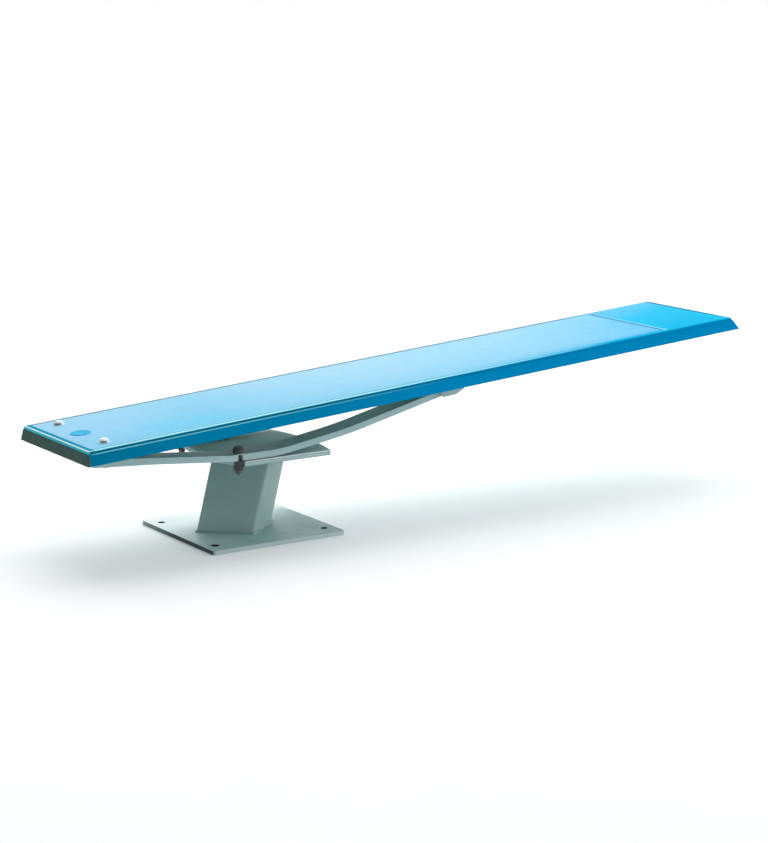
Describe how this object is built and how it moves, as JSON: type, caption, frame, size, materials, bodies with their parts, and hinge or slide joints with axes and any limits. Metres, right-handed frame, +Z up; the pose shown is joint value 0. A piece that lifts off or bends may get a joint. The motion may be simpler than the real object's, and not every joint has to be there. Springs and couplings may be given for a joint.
{
  "type": "diving board",
  "caption": "Residential diving board on a leaf-spring stand: board bolted at its tail to spring rails, resting on a rubber-topped fulcrum, over a leaning bolt-down pedestal.",
  "frame": {"origin": "centre of the anchor-bolt pattern on the base plate's underside, at deck level", "axes": "+X toward the board's tip, +Y to the board's left side when looking at the tip, +Z up from the deck"},
  "size_m": [2.432, 0.4572, 0.5312],
  "materials": {
    "stand_paint": "grey-green powder coat, satin",
    "weld_paint": "painted weld bead",
    "saddle_paint": "grey-green powder coat, satin",
    "rail_paint": "grey-green powder coat over spring steel",
    "fulcrum_paint": "grey-green powder coat, satin",
    "pad_rubber": "black rubber sheet",
    "bushing_rubber": "moulded black rubber",
    "gasket_rubber": "black rubber sheet",
    "washer_steel": "stainless steel",
    "bolt_steel": "stainless steel",
    "board_gelcoat": "blue gelcoat over glass fibre, satin gloss",
    "under_skin": "blue gelcoat over glass fibre",
    "core_wood": "laminated softwood planks",
    "tread_grit": "pale blue non-slip grit",
    "medallion_plastic": "plain blue disc",
    "cap_plastic": "white moulded cap",
    "clamp_steel": "black-coated steel"
  },
  "bodies": {
    "stand": {"base_plate": "stand_paint", "pedestal_column": "stand_paint", "foot_weld": "weld_paint", "head_weld": "weld_paint", "saddle_plate": "saddle_paint", "rail_pads": "pad_rubber", "upper_bushings": "bushing_rubber", "clamp_top_washers": "clamp_steel", "clamp_bolts": "clamp_steel", "lower_bushings": "bushing_rubber", "clamp_bottom_washers": "clamp_steel", "clamp_nuts": "clamp_steel"},
    "spring": {"near_spring_rail": "rail_paint", "far_spring_rail": "rail_paint", "clamp_seat_washers": "washer_steel", "fulcrum_bar": "fulcrum_paint", "fulcrum_screws": "bolt_steel", "fulcrum_nuts": "bolt_steel", "fulcrum_pad": "pad_rubber"},
    "board": {"board_shell": "board_gelcoat", "bottom_skin": "under_skin", "board_core": "core_wood", "tread_panel": "tread_grit", "medallion": "medallion_plastic", "tail_bolt_washers": "washer_steel", "tail_bolts": "bolt_steel", "tail_bolt_caps": "cap_plastic", "tail_gaskets": "gasket_rubber", "tail_lower_bushings": "bushing_rubber", "tail_lower_washers": "washer_steel", "tail_nuts": "bolt_steel"}
  },
  "joints": [
    {"name": "spring_rock", "type": "hinge", "parent": "stand", "child": "spring", "pos_m": [-0.01, 0, 0.264], "axis": [0, 1, 0], "range_deg": [0, 3], "stiffness_Nm_per_rad": 20000, "springref_deg": -1.26, "deforming": ["rail_pads", "upper_bushings"]},
    {"name": "board_lift", "type": "hinge", "parent": "spring", "child": "board", "pos_m": [-0.5332, 0, 0.32091], "axis": [0, -1, 0], "range_deg": [0, 2], "deforming": ["tail_gaskets", "tail_lower_bushings"]}
  ]
}
